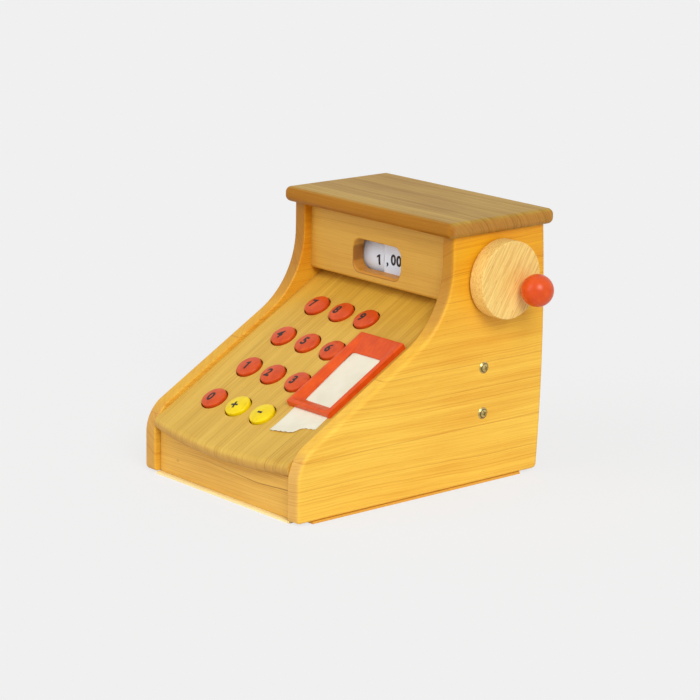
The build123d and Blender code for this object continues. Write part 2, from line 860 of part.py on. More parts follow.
# ------------------------------------------------ drawer
# The front's top edge is hollowed like the bowed nose that it slides under.
front_hollow = board_bow * sin(slope)
front_outline = make_face(
    Polyline(
        (-drawer_half, drawer_top_z + front_hollow),
        (-drawer_half, drawer_foot_z),
        (drawer_half, drawer_foot_z),
        (drawer_half, drawer_top_z + front_hollow),
    )
    + ThreePointArc(
        (-drawer_half, drawer_top_z + front_hollow),
        (0, drawer_top_z),
        (drawer_half, drawer_top_z + front_hollow),
    )
)
pieces["drawer_front"] = extrude(
    Plane.XZ.offset(-drawer_body_y) * front_outline, drawer_front_thickness, dir=(0, -1, 0)
)
pieces["drawer_bottom"] = block(
    (-drawer_half, drawer_body_y, drawer_foot_z), (drawer_half, drawer_back_y, drawer_floor_z)
)
inner_drawer_half = drawer_half - drawer_wall
for side, low_x, high_x in (
    ("left", -drawer_half, -inner_drawer_half),
    ("right", inner_drawer_half, drawer_half),
):
    pieces[f"drawer_side_{side}"] = block(
        (low_x, drawer_body_y, drawer_floor_z), (high_x, drawer_back_y, side_top_z)
    )
inner_back_y = drawer_back_y - drawer_wall
pieces["drawer_back"] = block(
    (-inner_drawer_half, inner_back_y, drawer_floor_z), (inner_drawer_half, drawer_back_y, drawer_top_z)
)
divider_top_z = drawer_floor_z + drawer_divider_height
pieces["note_divider"] = block(
    (divider_x, drawer_body_y, drawer_floor_z),
    (divider_x + drawer_divider_thickness, inner_back_y, divider_top_z),
)
coin_pitch = (inner_back_y - drawer_body_y + drawer_divider_thickness) / coin_bays
coin_dividers = [
    block(
        (-inner_drawer_half, drawer_body_y + coin_pitch * bay - drawer_divider_thickness, drawer_floor_z),
        (divider_x, drawer_body_y + coin_pitch * bay, divider_top_z),
    )
    for bay in range(1, coin_bays)
]
pieces["coin_dividers"] = Compound(coin_dividers)
catch_lip = block(
    (cam_place - catch_width / 2, catch_front_y, drawer_top_z),
    (cam_place + catch_width / 2, drawer_back_y, drawer_top_z + catch_height),
)
catch_tail = block(
    (cam_place - catch_width / 2, drawer_back_y, drawer_top_z - catch_width),
    (cam_place + catch_width / 2, drawer_back_y + catch_thickness, drawer_top_z + catch_height),
)
pieces["drawer_catch"] = catch_lip + catch_tail

# ------------------------------------------------ ejector: block and bowed leaf behind the drawer
block_front_y = drawer_back_y + touch_gap + ejector_leaf_radius
ejector_z = base_thickness + ejector_leaf_height
pieces["ejector_block"] = block(
    (-ejector_block_width / 2, block_front_y, base_thickness),
    (ejector_block_width / 2, block_front_y + ejector_block_length, base_thickness + ejector_block_height),
)
bow = Circle(ejector_leaf_radius) - Circle(ejector_leaf_radius - leaf_thickness)
bow = split(bow, Plane.YZ, keep=Keep.BOTTOM)
pieces["ejector_leaf"] = extrude(
    Plane.YZ.offset(-ejector_leaf_width / 2) * Pos(block_front_y, ejector_z) * bow,
    ejector_leaf_width,
    dir=(1, 0, 0),
)

# ------------------------------------------------ write every piece
os.makedirs("parts", exist_ok=True)
for name, piece in pieces.items():
    export_step(piece, f"parts/{name}.step")
print(len(pieces), "pieces written")
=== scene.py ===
"""Wooden toy cash register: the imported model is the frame, and this script gives it its looks.

The sections follow the register as it is put together. Lengths are metres unless a name ends in _mm. The
materials work in millimetres of the register's own frame: X right, front towards -Y, Z up.
"""

from math import cos, radians, sin

import bmesh
import bpy
import numpy as np
from mathutils import Matrix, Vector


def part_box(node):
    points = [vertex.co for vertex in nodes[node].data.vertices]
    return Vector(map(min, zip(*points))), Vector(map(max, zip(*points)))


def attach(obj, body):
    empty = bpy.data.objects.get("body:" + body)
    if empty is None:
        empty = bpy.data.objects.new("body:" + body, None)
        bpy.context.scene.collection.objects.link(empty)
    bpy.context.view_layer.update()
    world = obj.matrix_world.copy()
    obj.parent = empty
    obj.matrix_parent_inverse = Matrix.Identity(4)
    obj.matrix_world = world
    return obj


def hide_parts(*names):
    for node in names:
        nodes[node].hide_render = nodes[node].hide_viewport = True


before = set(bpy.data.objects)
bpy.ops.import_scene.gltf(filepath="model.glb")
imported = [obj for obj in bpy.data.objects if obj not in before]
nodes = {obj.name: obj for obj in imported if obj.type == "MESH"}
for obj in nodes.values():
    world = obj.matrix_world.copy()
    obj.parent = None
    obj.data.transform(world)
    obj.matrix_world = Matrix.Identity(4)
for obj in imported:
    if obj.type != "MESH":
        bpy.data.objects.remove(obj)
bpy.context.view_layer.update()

# ---------------------------------------------------------------- camera
# A long lens a good two metres away, turned to the register's right front and a little above it. The whole
# register fills the middle of a square picture.
camera_azimuth = radians(49.21)
camera_elevation = radians(13.99)
camera_roll = radians(0.89)
camera_target = np.array((0.00855, 0.0, 0.09735))
camera_distance = 2.02576


def towards(azimuth, elevation):
    """Unit vector from the register to something at an azimuth from its front and at an elevation."""
    return np.array((sin(azimuth) * cos(elevation), -cos(azimuth) * cos(elevation), sin(elevation)))


def level_axes(back):
    """Right and up of something whose back points along a vector, with no roll."""
    right = np.cross(-back, (0, 0, 1))
    right = right / np.linalg.norm(right)
    return right, np.cross(right, -back)


def placed(thing, right, up, back, place):
    """Puts a camera or lamp into the scene with its axes and place."""
    holder = bpy.data.objects.new(thing.name, thing)
    bpy.context.scene.collection.objects.link(holder)
    axes = np.column_stack((right, up, back, place)).tolist()
    holder.matrix_world = Matrix((*axes, (0.0, 0.0, 0.0, 1.0)))
    return holder


camera_back = towards(camera_azimuth, camera_elevation)
level_right, level_up = level_axes(camera_back)
camera_right = level_right * cos(camera_roll) + level_up * sin(camera_roll)
camera_up = level_up * cos(camera_roll) - level_right * sin(camera_roll)
lens = bpy.data.cameras.new("camera")
lens.lens = 135.9
lens.sensor_width = 36.0
lens.shift_x = 0.0005
lens.shift_y = 0.0015
lens.clip_end = 100.0
bpy.context.scene.view_settings.view_transform = "Standard"
bpy.context.scene.camera = placed(
    lens, camera_right, camera_up, camera_back, camera_target + camera_distance * camera_back
)


# ---------------------------------------------------------------- studio
# A pale seamless floor under soft, even light: a broad lamp from the right front, a weaker one from the left
# front and an even sky.
class Wire:
    """An output socket of a material's nodes. Arithmetic on wires adds Math nodes to the same material."""

    def __init__(self, paint, socket):
        self.paint = paint
        self.socket = socket

    def math(self, operation, *others):
        return self.paint.add("ShaderNodeMath", dict(enumerate((self, *others))), operation=operation)

    def __add__(self, other):
        return self.math("ADD", other)

    __radd__ = __add__

    def __sub__(self, other):
        return self.math("SUBTRACT", other)

    def __rsub__(self, other):
        return self.math("MULTIPLY_ADD", -1.0, other)

    def __mul__(self, other):
        return self.math("MULTIPLY", other)

    __rmul__ = __mul__

    def __truediv__(self, other):
        return self.math("DIVIDE", other)

    def __pow__(self, other):
        return self.math("POWER", other)

    def __gt__(self, other):
        return self.math("GREATER_THAN", other)

    def __abs__(self):
        return self.math("ABSOLUTE")

    def between(self, low, high):
        """0 below low, 1 above high, and smooth in between."""
        return self.paint.add(
            "ShaderNodeMapRange",
            {0: self, 1: low, 2: high, 3: 0.0, 4: 1.0},
            interpolation_type="SMOOTHSTEP",
        )


class Paint:
    """A material and the one method that adds nodes to it."""

    def __init__(self, name, tree=None):
        if tree is None:
            self.material = bpy.data.materials.new(name)
            self.material.use_nodes = True
            tree = self.material.node_tree
        self.nodes = tree.nodes
        self.links = tree.links
        self.nodes.clear()

    def add(self, kind, sockets=(), output=0, stops=None, **settings):
        """Adds a node: its settings and ramp stops first, then the values or wires of its sockets."""
        node = self.nodes.new(kind)
        for key, value in settings.items():
            setattr(node, key, value)
        if stops:
            ramp = node.color_ramp.elements
            while len(ramp) < len(stops):
                ramp.new(1.0)
            for element, (place, level) in zip(ramp, stops):
                element.position = place
                element.color = (level, level, level, 1.0)
        for key, value in dict(sockets).items():
            if isinstance(value, Wire):
                self.links.new(value.socket, node.inputs[key])
            else:
                node.inputs[key].default_value = value
        return Wire(self, node.outputs[output]) if len(node.outputs) else None

    def mix(self, amount, first, second, blend="MIX"):
        """Colour between two colours."""
        return self.add(
            "ShaderNodeMix",
            {0: amount, 6: first, 7: second},
            output=2,
            data_type="RGBA",
            blend_type=blend,
            clamp_factor=True,
        )

    def split(self, vector):
        """The three parts of a vector."""
        parts = self.nodes.new("ShaderNodeSeparateXYZ")
        self.links.new(vector.socket, parts.inputs[0])
        return [Wire(self, socket) for socket in parts.outputs]

    def join(self, x, y, z):
        """A vector of three parts."""
        return self.add("ShaderNodeCombineXYZ", {0: x, 1: y, 2: z})

    def noise(self, place, scale=1.0, detail=2.0, roughness=0.5):
        """Soft noise from 0 to 1 at a place."""
        return self.add(
            "ShaderNodeTexNoise",
            {"Vector": place, "Scale": scale, "Detail": detail, "Roughness": roughness},
        )

    def surface(self, colour, roughness, height=None, depth_mm=0.05, **constants):
        """Ends the material in a Principled surface with a bump."""
        sockets = {"Base Color": colour, "Roughness": roughness}
        if height is not None:
            sockets["Normal"] = self.add(
                "ShaderNodeBump", {"Height": height, "Strength": 1.0, "Distance": depth_mm / 1000}
            )
        for key, value in constants.items():
            sockets[key.replace("_", " ").title().replace("Ior", "IOR")] = value
        shader = self.add("ShaderNodeBsdfPrincipled", sockets)
        self.add("ShaderNodeOutputMaterial", {"Surface": shader})
        return self.material


def srgb(red, green, blue):
    """Linear colour of an 8-bit display colour."""
    level = np.array((red, green, blue)) / 255.0
    linear = np.where(level <= 0.04045, level / 12.92, ((level + 0.055) / 1.055) ** 2.4)
    return (*linear.tolist(), 1.0)


def lamp(name, azimuth, elevation, strength, softness):
    """A sun lamp with a broad disc, for soft even light. Its three angles are in degrees."""
    light = bpy.data.lights.new(name, "SUN")
    light.energy = strength
    light.angle = radians(softness)
    back = towards(radians(azimuth), radians(elevation))
    placed(light, *level_axes(back), back, 3 * back)


lamp("key_lamp", azimuth=66, elevation=36, strength=1.75, softness=30)
lamp("fill_lamp", azimuth=-20, elevation=26, strength=0.8, softness=45)

backdrop_colour = srgb(243, 243, 243)
sky_level = 0.42
world = bpy.data.worlds.new("studio")
world.use_nodes = True
bpy.context.scene.world = world
sky = Paint("studio", world.node_tree)
rays = sky.nodes.new("ShaderNodeLightPath")
seen = Wire(sky, rays.outputs["Is Camera Ray"])
seen = seen.math("MAXIMUM", Wire(sky, rays.outputs["Is Glossy Ray"]))
seen = seen.math("MAXIMUM", Wire(sky, rays.outputs["Is Transmission Ray"]))
dim = sky.add("ShaderNodeBackground", {"Color": (1.0, 1.0, 1.0, 1.0), "Strength": sky_level})
bright = sky.add("ShaderNodeBackground", {"Color": backdrop_colour, "Strength": 1.0})
sky.add("ShaderNodeOutputWorld", {0: sky.add("ShaderNodeMixShader", {0: seen, 1: dim, 2: bright})})

floor_half = 30.0
floor_glow_share = 0.82
floor_corners = [
    (-floor_half, -floor_half, 0),
    (floor_half, -floor_half, 0),
    (floor_half, floor_half, 0),
    (-floor_half, floor_half, 0),
]
floor_mesh = bpy.data.meshes.new("studio_floor")
floor_mesh.from_pydata(floor_corners, [], [(0, 1, 2, 3)])
floor = bpy.data.objects.new("studio_floor", floor_mesh)
bpy.context.scene.collection.objects.link(floor)
floor_paint = Paint("studio_floor")
floor_rays = floor_paint.nodes.new("ShaderNodeLightPath")
floor_seen = Wire(floor_paint, floor_rays.outputs["Is Camera Ray"])
floor_matt = floor_paint.add("ShaderNodeBsdfDiffuse", {"Color": srgb(241, 241, 241)})
floor_glow = floor_paint.add("ShaderNodeEmission", {"Color": backdrop_colour, "Strength": 1.0})
floor_shader = floor_paint.add(
    "ShaderNodeMixShader", {0: floor_seen * floor_glow_share, 1: floor_matt, 2: floor_glow}
)
floor_paint.add("ShaderNodeOutputMaterial", {"Surface": floor_shader})
floor_mesh.materials.append(floor_paint.material)

# ---------------------------------------------------------------- side panels
# Two solid softwood panels, each glued up from four boards that run front to back, sawn to one outline,
# rounded over and oiled to a honey yellow. The wood is most orange under the lid.


def wood(
    name,
    light,
    dark,
    line_colour,
    axes="yzx",
    tilt=0.0,
    joints=(),
    tones=(),
    pith=(220.0, 60.0),
    ring_mm=3.2,
    seed=0,
    ring_depth=0.55,
    fine_depth=0.65,
    slope=0.02,
    waves=5.0,
    end_colour=None,
    shift=None,
    gloss=0.46,
    joint_depth=0.4,
    shine=0.3,
):
    """Sawn softwood, with year rings that are circles about a pith line near the grain direction.

    axes names the object axes along the grain, across the board and through it, and tilt turns the object
    about X first. joints are the places in mm, across the board, where glued boards meet; each board has a
    pith and a tone of its own. A ring goes slowly dark towards its late wood and ends sharply. shift is a
    function that changes the finished colour, given the parts of the place in mm.
    """
    paint = Paint(name)
    place = paint.add("ShaderNodeTexCoord", output=3)
    normal = paint.add("ShaderNodeTexCoord", output=1)
    if tilt:
        place = paint.add("ShaderNodeMapping", {0: place, 2: (-tilt, 0.0, 0.0)})
        normal = paint.add("ShaderNodeMapping", {0: normal, 2: (-tilt, 0.0, 0.0)}, vector_type="VECTOR")
    place_mm = paint.add("ShaderNodeVectorMath", {0: place, 1: (1000.0,) * 3}, operation="MULTIPLY")
    parts = dict(zip("xyz", paint.split(place_mm)))
    along, across, deep = (parts[axis] for axis in axes)
    facing = dict(zip("xyz", paint.split(normal)))
    end = abs(facing[axes[0]]).between(0.5, 0.95)
    broad = abs(facing[axes[2]]).between(0.2, 0.8) * 0.6 + 0.4

    random = np.random.default_rng(seed)
    wander = paint.noise(paint.join(along * 0.005, across * 0.01, deep * 0.01 + seed * 3.7), 1.0, 1.0)
    bend = paint.noise(paint.join(along * 0.02, across * 0.03, deep * 0.03 + seed * 1.3), 1.0, 2.0)
    pith_across = across + (wander - 0.5) * waves * 2.0 + (bend - 0.5) * waves * 0.5
    pith_across = pith_across + along * slope - pith[0]
    pith_deep = deep + (wander - 0.5) * waves - pith[1]
    tone = across * 0.0
    seam = None
    for index, joint_mm in enumerate(joints):
        step = across > joint_mm
        pith_across = pith_across + step * float(random.uniform(-60, 60))
        pith_across = pith_across + along * step * float(random.uniform(-0.03, 0.03))
        pith_deep = pith_deep + step * float(random.uniform(-30, 30))
        tone = tone + step * (tones[index] if tones else 0.0)
        glue_line = 1.0 - abs(across - joint_mm + (bend - 0.5) * 0.5).between(0.1, 0.45)
        seam = glue_line if seam is None else seam.math("MAXIMUM", glue_line)
    radius = (pith_across * pith_across + pith_deep * pith_deep) ** 0.5
    swell = paint.add("ShaderNodeTexNoise", {"W": radius * 0.12, "Detail": 2.0}, noise_dimensions="1D")
    turns = (radius + swell * 7.0) / ring_mm
    ring = paint.add(
        "ShaderNodeValToRGB",
        {0: turns.math("FRACT")},
        stops=((0.0, 0.5), (0.12, 0.05), (0.5, 0.1), (0.8, 0.6), (0.92, 1.0), (1.0, 0.5)),
    )
    strength = paint.add("ShaderNodeTexWhiteNoise", {"W": turns.math("FLOOR")}, noise_dimensions="1D")
    ring = ring * (0.25 + strength * 0.75)
    strong = (strength > 0.9) * ring.between(0.5, 0.9)
    fine = paint.noise(paint.join(along * 0.016, radius * 1.9, deep * 0.05), 1.0, 4.0, 0.7)
    fibre = paint.noise(paint.join(along * 0.05, across * 2.2, deep * 2.2), 1.0, 3.0, 0.6)
    streak = paint.noise(paint.join(along * 0.006, across * 0.13, deep * 0.13 + seed), 1.0, 3.0, 0.6)
    cloud = paint.noise(paint.join(along * 0.01, across * 0.02, deep * 0.02 + 9.0 + seed), 1.0, 2.0)
    fleck = paint.noise(paint.join(along * 0.16, across * 2.4, deep * 2.4), 1.0, 1.0).between(0.7, 0.78)
    darkness = (ring * ring_depth + (fine - 0.5) * fine_depth * 2.0) * broad + (fibre - 0.5) * 0.35
    darkness = darkness + (streak - 0.5) * 0.8 + (cloud - 0.5) * 0.6 + tone + 0.2
    colour = paint.mix(darkness.math("MINIMUM", 1.0).math("MAXIMUM", 0.0), light, dark)
    colour = paint.mix(strong * broad * 0.35, colour, line_colour)
    colour = paint.mix(fleck * 0.35, colour, line_colour)
    if end_colour is not None:
        pores = paint.noise(paint.join(along * 0.4, across * 2.2, deep * 2.2), 1.0, 3.0, 0.7)
        end_grain = paint.mix(ring * 0.75 + (pores - 0.5) * 1.1, end_colour, line_colour)
        colour = paint.mix(end * 0.75, colour, end_grain)
    if shift is not None:
        colour = shift(paint, colour, {**parts, "end": end})
    height = fibre * 0.4 - ring * 0.3 + fine * 0.2
    if seam is not None:
        colour = paint.mix(seam * joint_depth, colour, line_colour)
        height = height - seam * 1.2
    rough = gloss + (fibre - 0.5) * 0.2 + ring * 0.08
    return paint.surface(
        colour, rough, height, 0.06, coat_weight=0.03, coat_roughness=0.3, specular_ior_level=shine
    )


def dress(material, *names):
    """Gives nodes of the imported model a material."""
    for name in names:
        for slot in nodes[name].material_slots:
            slot.material = material


def oiled_panels(paint, base, parts):
    """Most orange under the lid. The sawn front edges darken with height, partly as end grain that took more
    oil and partly as painted shade; the left panel is darkened with painted shade.
    """
    colour = paint.mix(parts["z"].between(60.0, 200.0), base, srgb(248, 226, 104), "MULTIPLY")
    # The upper front edges are partly darker end grain that took more oil and partly painted shade.
    edge_oil_and_shade = parts["end"] * parts["z"].between(70.0, 150.0)
    colour = paint.mix(edge_oil_and_shade, colour, srgb(222, 218, 200), "MULTIPLY")
    # Painted shade: the left panel, on the side away from the key lamp, is darkened.
    left = (parts["x"] * -1.0) > 0.0
    return paint.mix(left, colour, srgb(236, 230, 216), "MULTIPLY")


side_wood = wood(
    "side_wood",
    srgb(255, 208, 80),
    srgb(228, 154, 32),
    srgb(184, 106, 24),
    ring_mm=2.7,
    ring_depth=0.5,
    joints=(47.0, 96.0, 147.0),
    tones=(0.05, 0.08, 0.1),
    seed=3,
    end_colour=srgb(226, 174, 92),
    shift=oiled_panels,
)
dress(side_wood, "side_panel_right", "side_panel_left")

# ---------------------------------------------------------------- base plate
# A thin plywood plate: a cream strip under the drawer, oiled with the panels along its ends. The drawer's
# bottom is of the same plywood.
plate_ends_mm = 80.6


def oiled_ends(paint, base, parts):
    """The plate's ends take the side panels' honey colour."""
    return paint.mix(abs(parts["x"]) > plate_ends_mm, base, srgb(232, 170, 62))


plywood = wood(
    "plywood",
    srgb(255, 240, 178),
    srgb(236, 200, 120),
    srgb(190, 130, 60),
    axes="xyz",
    pith=(400.0, -300.0),
    ring_mm=9.0,
    seed=8,
    ring_depth=0.25,
    shift=oiled_ends,
)
dress(plywood, "base_plate", "drawer_bottom")

# ---------------------------------------------------------------- lid
# A darker oiled panel with its long side across, bullnosed all round. It is glued from three boards, and its
# end grain shows at both ends.
lid_front_mm = (20.5, 25.5)


def dark_front(paint, base, parts):
    """The lid's front edge is browner than its top."""
    return paint.mix(1.0 - parts["y"].between(*lid_front_mm), base, srgb(226, 186, 116), "MULTIPLY")


lid_wood = wood(
    "lid_wood",
    srgb(202, 164, 74),
    srgb(156, 112, 34),
    srgb(112, 64, 16),
    axes="xyz",
    joints=(42.0, 88.0),
    tones=(0.22, -0.1),
    pith=(-60.0, 110.0),
    seed=5,
    end_colour=srgb(190, 128, 56),
    ring_mm=2.4,
    ring_depth=0.7,
    slope=-0.012,
    shift=dark_front,
    joint_depth=0.25,
    shine=0.12,
)
dress(lid_wood, "top_board")

# ---------------------------------------------------------------- window panel
# A quiet, straight-grained board under the lid, with a round-cornered window cut through it. The back panel
# is of the same wood.
window_middle_mm = {"x": -2.05, "z": 161.6}
window_half_mm = {"x": 27.7, "z": 12.4}
window_corner_mm = 8.0


def scorched_opening(paint, base, parts):
    """The window's rim is a little scorched by the cutter, and its sides are redder than the face.

    The distance outside a box with round corners is |max(|place - middle| - (half - corner), 0)| - corner.
    """
    squares = []
    for axis in "xz":
        straight = window_half_mm[axis] - window_corner_mm
        past = (abs(parts[axis] - window_middle_mm[axis]) - straight).math("MAXIMUM", 0.0)
        squares.append(past * past)
    outside = (squares[0] + squares[1]) ** 0.5 - window_corner_mm
    front = 1.0 - parts["y"].between(60.0, 61.0)
    sides = (1.0 - outside.between(-0.2, 0.6)) * front * 0.6
    rim = (1.0 - abs(outside - 0.2).between(0.1, 0.6)) * front * 0.55
    return paint.mix(rim, paint.mix(sides, base, srgb(232, 184, 120), "MULTIPLY"), srgb(120, 64, 20))


window_wood = wood(
    "window_wood",
    srgb(222, 172, 70),
    srgb(190, 130, 38),
    srgb(150, 92, 24),
    axes="xzy",
    pith=(-420.0, 90.0),
    seed=11,
    ring_mm=1.9,
    ring_depth=0.35,
    waves=3.0,
    slope=-0.01,
    shift=scorched_opening,
)
dress(window_wood, "window_panel", "back_panel")

# ---------------------------------------------------------------- key board
# The sloping board with the keys: boards glued side by side, grain up the slope, and a bowed bullnose. Its
# material lies along the slope, so its y is up the slope and its z square to it.
slope_angle = radians(30)
board_top_mm = 98.3
seat_column_mm, seat_column_pitch_mm = -16.2, 29.2
seat_row_mm, seat_row_pitch_mm = -45.71, 39.0
seat_radius_mm = 11.1


def dark_seats(paint, base, parts):
    """The stepped seats under the keys are darkened below the board's face with painted shade. The board
    gets browner up the slope.
    """
    across = (parts["x"] - seat_column_mm).math("WRAP", seat_column_pitch_mm / 2, -seat_column_pitch_mm / 2)
    upwards = (parts["y"] - seat_row_mm).math("WRAP", seat_row_pitch_mm / 2, -seat_row_pitch_mm / 2)
    from_seat = (across * across + upwards * upwards) ** 0.5
    inside = 1.0 - from_seat.between(seat_radius_mm - 0.2, seat_radius_mm + 0.2)
    below = 1.0 - parts["z"].between(board_top_mm - 1.6, board_top_mm - 0.4)
    above_nose = parts["y"].between(-60.0, -59.0)
    colour = paint.mix(parts["y"].between(20.0, 110.0), base, srgb(244, 232, 190), "MULTIPLY")
    # Painted shade: the seats round the keys, below the board's face, go nearly black.
    return paint.mix(inside * below * above_nose * 0.9, colour, srgb(34, 18, 8))


board_wood = wood(
    "board_wood",
    srgb(230, 190, 88),
    srgb(186, 136, 44),
    srgb(150, 98, 28),
    axes="yxz",
    tilt=slope_angle,
    joints=(-62.0, -20.0, 22.0, 60.0),
    tones=(0.1, -0.12, 0.1, 0.08),
    pith=(260.0, 120.0),
    seed=17,
    ring_mm=3.0,
    ring_depth=0.4,
    waves=4.0,
    end_colour=srgb(206, 154, 74),
    shift=dark_seats,
    joint_depth=0.22,
    shine=0.2,
)
dress(board_wood, "key_board")

# ---------------------------------------------------------------- receipt frame
# A bevelled picture frame in red satin lacquer. Wood fibres show through the lacquer as fine streaks.


def lacquer(name, colour, deep, gloss=0.36, grain=(60.0, 600.0, 600.0), tilt=0.0):
    """Coloured lacquer over wood: slightly cloudy, with the wood's fibres showing through as bump."""
    paint = Paint(name)
    place = paint.add("ShaderNodeTexCoord", output=3)
    if tilt:
        place = paint.add("ShaderNodeMapping", {0: place, 2: (-tilt, 0.0, 0.0)})
    cloud = paint.noise(place, 110.0, 2.0)
    fibre_place = paint.add("ShaderNodeVectorMath", {0: place, 1: grain}, operation="MULTIPLY")
    fibre = paint.noise(fibre_place, 1.0, 3.0, 0.6)
    tone = paint.mix(cloud.between(0.3, 0.7) * 0.45 + fibre.between(0.35, 0.75) * 0.4, colour, deep)
    skin = paint.noise(place, 1500.0, 2.0)
    rough = gloss + (fibre - 0.5) * 0.25
    height = fibre * 0.7 + skin * 0.2
    return paint.surface(
        tone, rough, height, 0.07, coat_weight=0.06, coat_roughness=0.25, specular_ior_level=0.3
    )


frame_lacquer = lacquer(
    "frame_lacquer",
    srgb(230, 88, 18),
    srgb(204, 64, 10),
    grain=(700.0, 50.0, 700.0),
    tilt=slope_angle,
)
dress(frame_lacquer, "receipt_frame")

# ---------------------------------------------------------------- keys
# Turned wooden buttons in satin lacquer: ten red ones with printed figures, and yellow ones for plus and
# minus. Each figure is printed a little askew and follows the button's dome.
key_grain = (420.0, 160.0, 160.0)
key_lacquer = lacquer("key_lacquer", srgb(222, 84, 20), srgb(192, 58, 14), grain=key_grain)
yellow_lacquer = lacquer("yellow_lacquer", srgb(250, 222, 0), srgb(232, 194, 0), grain=key_grain)
dress(key_lacquer, *[f"key_{digit}" for digit in range(10)])
dress(yellow_lacquer, "key_plus", "key_minus")


def printing_ink(name, colour):
    """Thin dark print that has not covered every fibre."""
    paint = Paint(name)
    place = paint.add("ShaderNodeTexCoord", output=3)
    worn = paint.noise(place, 2600.0, 3.0, 0.7)
    cloud = paint.noise(place, 400.0, 1.0)
    tone = paint.mix(worn.between(0.45, 0.9) * 0.7 + cloud * 0.2, colour, srgb(84, 66, 58))
    return paint.surface(tone, 0.55 + (worn - 0.5) * 0.2, worn, 0.02, specular_ior_level=0.3)


# The font's own 1 is a bare stroke; this one has a flag, as the photo shows.
one_outline = (
    (0.18, 0.0),
    (0.33, 0.0),
    (0.33, 0.72),
    (0.23, 0.72),
    (0.03, 0.58),
    (0.03, 0.46),
    (0.18, 0.54),
)


def lettering(words, height, weight, thickness):
    """A closed mesh of a figure, centred on the origin, of a height in metres.

    weight thickens the font's strokes. The mesh is cut into a fine grid, so that it can follow a dome.
    """
    if words == "1":
        curve = bpy.data.curves.new("lettering", "CURVE")
        curve.dimensions = "2D"
        curve.fill_mode = "BOTH"
        outline = curve.splines.new("POLY")
        outline.points.add(len(one_outline) - 1)
        outline.use_cyclic_u = True
        for point, (across, upwards) in zip(outline.points, one_outline):
            point.co = (across, upwards, 0.0, 1.0)
    else:
        curve = bpy.data.curves.new("lettering", "FONT")
        curve.body = words
        curve.size = 1.0
        curve.offset = weight
        curve.resolution_u = 6
    curve.extrude = 0.5
    holder = bpy.data.objects.new("lettering", curve)
    bpy.context.scene.collection.objects.link(holder)
    view = bpy.context.evaluated_depsgraph_get()
    mesh = bpy.data.meshes.new_from_object(holder.evaluated_get(view))
    bpy.data.objects.remove(holder)
    bpy.data.curves.remove(curve)
    shape = bmesh.new()
    shape.from_mesh(mesh)
    bmesh.ops.remove_doubles(shape, verts=shape.verts, dist=1e-5)
    for plane_normal in ((0, 1, 0), (1, 0, 0)):
        for level in np.arange(-0.3, 1.0, 0.07):
            parts = shape.verts[:] + shape.edges[:] + shape.faces[:]
            point = (level * plane_normal[0], level * plane_normal[1], 0)
            bmesh.ops.bisect_plane(shape, geom=parts, dist=1e-6, plane_co=point, plane_no=plane_normal)
    bmesh.ops.dissolve_degenerate(shape, edges=shape.edges, dist=1e-4)
    bmesh.ops.triangulate(shape, faces=shape.faces)
    shape.to_mesh(mesh)
    shape.free()
    place = np.empty(3 * len(mesh.vertices))
    mesh.vertices.foreach_get("co", place)
    place = place.reshape(-1, 3)
    low, high = place.min(axis=0), place.max(axis=0)
    place = (place - (low + high) / 2) * np.array((1.0, 1.0, thickness))
    place[:, :2] *= height / (high[1] - low[1])
    mesh.vertices.foreach_set("co", place.ravel())
    return mesh, place


def put(mesh, place, name, material, body):
    """Moves a mesh's vertices to their places and makes it a piece that rides on a body."""
    mesh.vertices.foreach_set("co", np.ascontiguousarray(place).ravel())
    mesh.name = name
    mesh.materials.clear()
    mesh.materials.append(material)
    mesh.update()
    piece = bpy.data.objects.new(name, mesh)
    bpy.context.scene.collection.objects.link(piece)
    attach(piece, body)
    return piece


ink = printing_ink("key_ink", srgb(34, 30, 28))
board_across = np.array((1.0, 0.0, 0.0))
board_upwards = np.array((0.0, cos(slope_angle), sin(slope_angle)))
board_normal = np.array((0.0, -sin(slope_angle), cos(slope_angle)))
dome_drop_per_square = 10.6
ink_thickness = 0.00016
key_stroke_weight = 0.03
key_figure_width = 0.96
key_figures = {
    # label: (words, height mm, turn in degrees, shift across mm, shift up the slope mm)
    "0": ("0", 8.8, 3.0, -0.5, -0.5),
    "1": ("1", 8.6, 2.0, 0.2, -0.3),
    "2": ("2", 8.6, 2.0, -1.6, -0.6),
    "3": ("3", 8.8, 2.0, -1.4, -0.2),
    "4": ("4", 8.6, -4.0, -0.4, -0.3),
    "5": ("5", 8.6, -3.0, -0.4, 0.0),
    "6": ("6", 8.6, -3.0, -1.0, 0.0),
    "7": ("7", 8.6, 6.0, -1.4, -0.2),
    "8": ("8", 8.8, -4.0, -2.2, 0.0),
    "9": ("9", 8.8, 2.0, -1.8, -0.3),
    "plus": ("+", 6.6, 14.0, -0.2, -1.0),
    "minus": ("-", 1.8, 4.0, 0.2, -0.2),
}
for label, (words, height_mm, turn, aside_mm, ahead_mm) in key_figures.items():
    cap = nodes[f"key_{label}"].data
    spots = np.empty(3 * len(cap.vertices))
    cap.vertices.foreach_get("co", spots)
    spots = spots.reshape(-1, 3)
    top = spots[np.argmax(spots @ board_normal)]
    weight = 0.0 if words == "-" else key_stroke_weight
    mesh, flat = lettering(words, height_mm / 1000, weight, ink_thickness)
    turned = np.column_stack(
        (
            key_figure_width * flat[:, 0] * cos(radians(turn)) - flat[:, 1] * sin(radians(turn)),
            key_figure_width * flat[:, 0] * sin(radians(turn)) + flat[:, 1] * cos(radians(turn)),
        )
    )
    turned += np.array((aside_mm, ahead_mm)) / 1000
    fall = dome_drop_per_square * (turned**2).sum(axis=1)
    lift = flat[:, 2] + ink_thickness / 2 - fall
    place = (
        top
        + turned[:, :1] * board_across
        + turned[:, 1:] * board_upwards
        + lift[:, None] * board_normal
    )
    put(mesh, place, f"figure_{label}", ink, f"body_key_{label}")

# ---------------------------------------------------------------- receipt paper
# A narrow roll under the board feeds a strip up through the slot and down under the frame. The strip's end
# is torn off in a wavy line.


